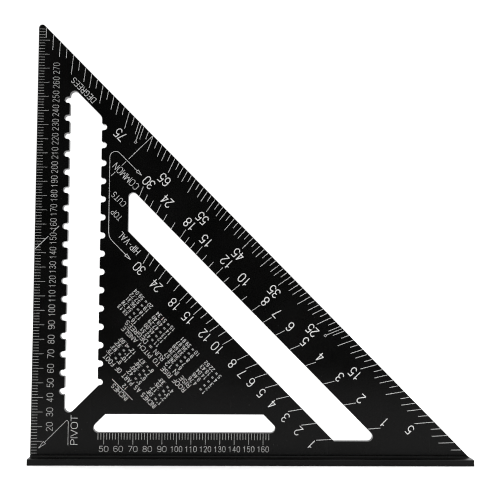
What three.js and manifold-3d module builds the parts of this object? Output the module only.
// A 12-inch metric speed square: a triangular blade with three windows, seated on a T-shaped fence.
// Lengths are in millimetres. The finished part stands on its fence, with +Z up and the blade facing -Y.
//
// Shapes are drawn in the square's own sketch plane. u runs along the fence from the ruled edge, and
// v rises from the fence's contact face, so that (0, 0) is the pivot corner of the square.
import * as THREE from 'three';
import { mergeVertices } from 'three/addons/utils/BufferGeometryUtils.js';
import Module from 'manifold-3d';

const wasm = await Module();
wasm.setup();

// Driving dimensions of the square.
const LEG = 304.8;
const HYPOTENUSE = 304.2; // u + v on the hypotenuse, which is dressed back from the nominal corners
const BLADE_THICKNESS = 5;
const TIP_RADIUS = 2.4;

// The fence: a flat bar with a low rib along its middle, and a groove in the rib.
const FENCE_WIDTH = 25.4;
const FENCE_THICKNESS = 4.3;
const FENCE_EDGE_RADIUS = 0.6;
const RIB_HEIGHT = 1.1;
const RIB_FOOT_RADIUS = 0.8;
const GROOVE_DEPTH = 2.2; // below the contact face

// The tongue under the blade that sits in the groove.
const TONGUE_THICKNESS = 2.4;
const TONGUE_ROOT = 1; // how far the tongue reaches up inside the plate
const SEAT_GAP = 0.3; // between the blade and the fence, all round

// The scribing window beside the ruled edge, with its guide notches.
const SCRIBE_LEFT = 22.65;
const SCRIBE_RIGHT = 45.25;
const SCRIBE_LOWER_OFFSET = 2.9; // v - u on its sloping lower edge
const SCRIBE_UPPER_SUM = 281.25; // u + v on its sloping upper edge
const SCRIBE_SHOULDER_RADIUS = 5; // where the upper edge meets the right wall
const NOTCH_PITCH = 12.7;
const NOTCH_RADIUS = 2.1;
const NOTCH_LIP_RADIUS = 1.05;
const LEFT_NOTCHES = { count: 17, first: 44.4, tip: 19 };
const RIGHT_NOTCHES = { count: 15, first: 50.9, tip: 48.75 };

// The diagonal window along the hypotenuse.
const DIAGONAL_LEFT = 64.5;
const DIAGONAL_FLOOR = 10.9;
const DIAGONAL_INNER_SUM = 220.3; // u + v on the edge nearer the pivot
const DIAGONAL_OUTER_SUM = 251.9; // u + v on the edge nearer the hypotenuse

// The low window above the fence, a trapezium whose ends slope at 45 degrees.
const LOW_FLOOR = 16.35;
const LOW_CEILING = 29.05;
const LOW_CEILING_START = 50.95;
const LOW_CEILING_END = 160.15;

// Rounding of the windows' corners, by how sharp the corner is.
const SHARP_CORNER_RADIUS = 3.2;
const BLUNT_CORNER_RADIUS = 0.5;

const ARC_STEP = THREE.MathUtils.degToRad(18); // the widest turn between two points of an arc

// Points of an arc about (u, v), from one angle to another, both ends included.
function arcPoints(u, v, radius, from, to) {
  const steps = Math.ceil(Math.abs(to - from) / ARC_STEP);
  const points = [];
  for (let i = 0; i <= steps; i += 1) {
    const angle = from + ((to - from) * i) / steps;
    points.push(new THREE.Vector2(u + radius * Math.cos(angle), v + radius * Math.sin(angle)));
  }
  return points;
}

// The arc that rounds one corner, given the points before and after it.
function roundCorner(before, corner, after, radius) {
  const back = before.clone().sub(corner).normalize();
  const ahead = after.clone().sub(corner).normalize();
  const halfAngle = Math.acos(back.dot(ahead)) / 2;
  const middle = back.clone().add(ahead).normalize();
  const centre = corner.clone().addScaledVector(middle, radius / Math.sin(halfAngle));
  const start = corner.clone().addScaledVector(back, radius / Math.tan(halfAngle)).sub(centre);
  const end = corner.clone().addScaledVector(ahead, radius / Math.tan(halfAngle)).sub(centre);
  const turn = Math.atan2(start.cross(end), start.dot(end));
  return arcPoints(centre.x, centre.y, radius, start.angle(), start.angle() + turn);
}

// A closed outline from [u, v, radius] corners. A radius of 0 leaves the corner square.
function roundedOutline(corners) {
  const places = corners.map(([u, v]) => new THREE.Vector2(u, v));
  return corners.flatMap(([, , radius], i) => {
    if (radius === 0) return [places[i]];
    const before = places[(i + places.length - 1) % places.length];
    const after = places[(i + 1) % places.length];
    return roundCorner(before, places[i], after, radius);
  });
}

// One guide notch in an upright wall, drawn upwards.
// side is -1 where the notch is cut to the left of the wall, and +1 where it is cut to the right.
function notch(wall, tip, v, side) {
  const lipU = wall + side * NOTCH_LIP_RADIUS;
  const lipV = NOTCH_RADIUS + NOTCH_LIP_RADIUS;
  const bottomU = tip - side * NOTCH_RADIUS;
  const outward = side < 0 ? Math.PI : 0;
  const quarter = Math.PI / 2;
  return {
    lowerLip: arcPoints(lipU, v - lipV, NOTCH_LIP_RADIUS, Math.PI - outward, quarter),
    bottom: arcPoints(bottomU, v, NOTCH_RADIUS, outward - side * quarter, outward + side * quarter),
    upperLip: arcPoints(lipU, v + lipV, NOTCH_LIP_RADIUS, -quarter, outward - Math.PI),
  };
}

// A row of notches up one wall, lowest first.
function notchRow(wall, { count, first, tip }, side) {
  return Array.from({ length: count }, (_, k) => notch(wall, tip, first + k * NOTCH_PITCH, side));
}

function wholeNotch({ lowerLip, bottom, upperLip }) {
  return [...lowerLip, ...bottom, ...upperLip];
}

// The scribing window: up its right wall, over the top, and down its left wall.
// Its sloping lower edge runs straight into the lowest notch of the right wall.
function scribeWindow() {
  const [lowestNotch, ...rightNotches] = notchRow(SCRIBE_RIGHT, RIGHT_NOTCHES, 1);
  const leftNotches = notchRow(SCRIBE_LEFT, LEFT_NOTCHES, -1);
  const lowestFlank = RIGHT_NOTCHES.first - NOTCH_RADIUS;
  const lowerRight = new THREE.Vector2(lowestFlank - SCRIBE_LOWER_OFFSET, lowestFlank);
  const upperRight = new THREE.Vector2(SCRIBE_RIGHT, SCRIBE_UPPER_SUM - SCRIBE_RIGHT);
  const upperLeft = new THREE.Vector2(SCRIBE_LEFT, SCRIBE_UPPER_SUM - SCRIBE_LEFT);
  const lowerLeft = new THREE.Vector2(SCRIBE_LEFT, SCRIBE_LEFT + SCRIBE_LOWER_OFFSET);
  const rightWall = new THREE.Vector2(SCRIBE_RIGHT, lowestFlank);
  return [
    ...roundCorner(lowerLeft, lowerRight, lowestNotch.bottom[0], BLUNT_CORNER_RADIUS),
    ...lowestNotch.bottom,
    ...lowestNotch.upperLip,
    ...rightNotches.flatMap(wholeNotch),
    ...roundCorner(rightWall, upperRight, upperLeft, SCRIBE_SHOULDER_RADIUS),
    ...roundCorner(upperRight, upperLeft, lowerLeft, SHARP_CORNER_RADIUS),
    ...leftNotches.flatMap(wholeNotch).reverse(),
    ...roundCorner(upperLeft, lowerLeft, lowerRight, SHARP_CORNER_RADIUS),
  ];
}

function diagonalWindow() {
  return roundedOutline([
    [DIAGONAL_INNER_SUM - DIAGONAL_FLOOR, DIAGONAL_FLOOR, BLUNT_CORNER_RADIUS],
    [DIAGONAL_OUTER_SUM - DIAGONAL_FLOOR, DIAGONAL_FLOOR, SHARP_CORNER_RADIUS],
    [DIAGONAL_LEFT, DIAGONAL_OUTER_SUM - DIAGONAL_LEFT, SHARP_CORNER_RADIUS],
    [DIAGONAL_LEFT, DIAGONAL_INNER_SUM - DIAGONAL_LEFT, BLUNT_CORNER_RADIUS],
  ]);
}

function lowWindow() {
  const spread = LOW_CEILING - LOW_FLOOR;
  return roundedOutline([
    [LOW_CEILING_START - spread, LOW_FLOOR, SHARP_CORNER_RADIUS],
    [LOW_CEILING_END + spread, LOW_FLOOR, SHARP_CORNER_RADIUS],
    [LOW_CEILING_END, LOW_CEILING, BLUNT_CORNER_RADIUS],
    [LOW_CEILING_START, LOW_CEILING, BLUNT_CORNER_RADIUS],
  ]);
}

// A flat plate of the given outline, centred on the sketch plane, with u along X and v along Z.
function plate(outline, thickness, windows = []) {
  const shape = new THREE.Shape(outline);
  shape.holes = windows.map((points) => new THREE.Path(points));
  return new THREE.ExtrudeGeometry(shape, { depth: thickness, bevelEnabled: false })
    .translate(0, 0, -thickness / 2)
    .rotateX(Math.PI / 2);
}

// A three.js geometry as a manifold-3d solid, and back again.
function solidFrom(geometry) {
  const bare = new THREE.BufferGeometry().setAttribute('position', geometry.getAttribute('position'));
  const merged = mergeVertices(bare, 1e-4);
  return new wasm.Manifold(new wasm.Mesh({
    numProp: 3,
    vertProperties: merged.attributes.position.array,
    triVerts: new Uint32Array(merged.index.array),
  }));
}

function geometryFrom(solid) {
  const { numProp, vertProperties, triVerts } = solid.getMesh();
  const geometry = new THREE.BufferGeometry();
  geometry.setAttribute('position', new THREE.BufferAttribute(vertProperties, numProp));
  geometry.setIndex(new THREE.BufferAttribute(triVerts, 1));
  geometry.computeVertexNormals();
  return geometry;
}

// The blade: the windowed triangle, joined to the tongue under its lower edge.
function bladeGeometry() {
  const lowerEdge = RIB_HEIGHT + SEAT_GAP;
  const triangle = roundedOutline([
    [0, lowerEdge, 0],
    [HYPOTENUSE - lowerEdge, lowerEdge, 0],
    [0, HYPOTENUSE, TIP_RADIUS],
  ]);
  const tongueFoot = SEAT_GAP - GROOVE_DEPTH;
  const tongueTop = lowerEdge + TONGUE_ROOT;
  const tongue = roundedOutline([
    [SEAT_GAP, tongueFoot, 0],
    [LEG - SEAT_GAP, tongueFoot, 0],
    [LEG - SEAT_GAP, 0, 0],
    [HYPOTENUSE - SEAT_GAP, 0, 0],
    [HYPOTENUSE - SEAT_GAP - tongueTop, tongueTop, 0],
    [SEAT_GAP, tongueTop, 0],
  ]);
  const windows = [scribeWindow(), diagonalWindow(), lowWindow()];
  const body = solidFrom(plate(triangle, BLADE_THICKNESS, windows));
  return geometryFrom(body.add(solidFrom(plate(tongue, TONGUE_THICKNESS))));
}

// The fence's cross-section, drawn across the tool: bar, rounded rib foot, rib and groove.
function fenceSection() {
  const halfWidth = FENCE_WIDTH / 2;
  const ribHalf = BLADE_THICKNESS / 2;
  const grooveHalf = TONGUE_THICKNESS / 2 + SEAT_GAP;
  return roundedOutline([
    [-halfWidth, -FENCE_THICKNESS, FENCE_EDGE_RADIUS],
    [halfWidth, -FENCE_THICKNESS, FENCE_EDGE_RADIUS],
    [halfWidth, 0, FENCE_EDGE_RADIUS],
    [ribHalf, 0, RIB_FOOT_RADIUS],
    [ribHalf, RIB_HEIGHT, 0],
    [grooveHalf, RIB_HEIGHT, 0],
    [grooveHalf, -GROOVE_DEPTH, 0],
    [-grooveHalf, -GROOVE_DEPTH, 0],
    [-grooveHalf, RIB_HEIGHT, 0],
    [-ribHalf, RIB_HEIGHT, 0],
    [-ribHalf, 0, RIB_FOOT_RADIUS],
    [-halfWidth, 0, FENCE_EDGE_RADIUS],
  ]);
}

// The fence: its section drawn out along the leg, with the rib's far end sloped like the hypotenuse.
function fenceGeometry() {
  const bar = new THREE.ExtrudeGeometry(new THREE.Shape(fenceSection()), { depth: LEG, bevelEnabled: false })
    .rotateX(Math.PI / 2)
    .rotateZ(Math.PI / 2);
  const margin = 2 * RIB_HEIGHT;
  const beyondHypotenuse = [
    new THREE.Vector2(HYPOTENUSE, 0),
    new THREE.Vector2(LEG + margin, 0),
    new THREE.Vector2(LEG + margin, margin),
    new THREE.Vector2(HYPOTENUSE - margin, margin),
  ];
  return geometryFrom(solidFrom(bar).subtract(solidFrom(plate(beyondHypotenuse, FENCE_WIDTH))));
}

// Black-coated aluminium. The fence is handled and rubbed more, so its coat is a little greyer.
const bladeCoat = new THREE.MeshStandardMaterial({ color: 0x131313, roughness: 0.42, metalness: 0.1 });
const fenceCoat = new THREE.MeshStandardMaterial({ color: 0x191919, roughness: 0.38, metalness: 0.1 });

const blade = new THREE.Mesh(bladeGeometry(), bladeCoat);
blade.name = 'blade';

const fence = new THREE.Mesh(fenceGeometry(), fenceCoat);
fence.name = 'fence';

// The pivot corner goes where the whole part's origin is the middle of the fence's underside.
const sketchFrame = new THREE.Group();
sketchFrame.position.set(-LEG / 2, 0, FENCE_THICKNESS);
sketchFrame.add(blade, fence);

const speedSquare = new THREE.Group();
speedSquare.add(sketchFrame);

export default speedSquare;
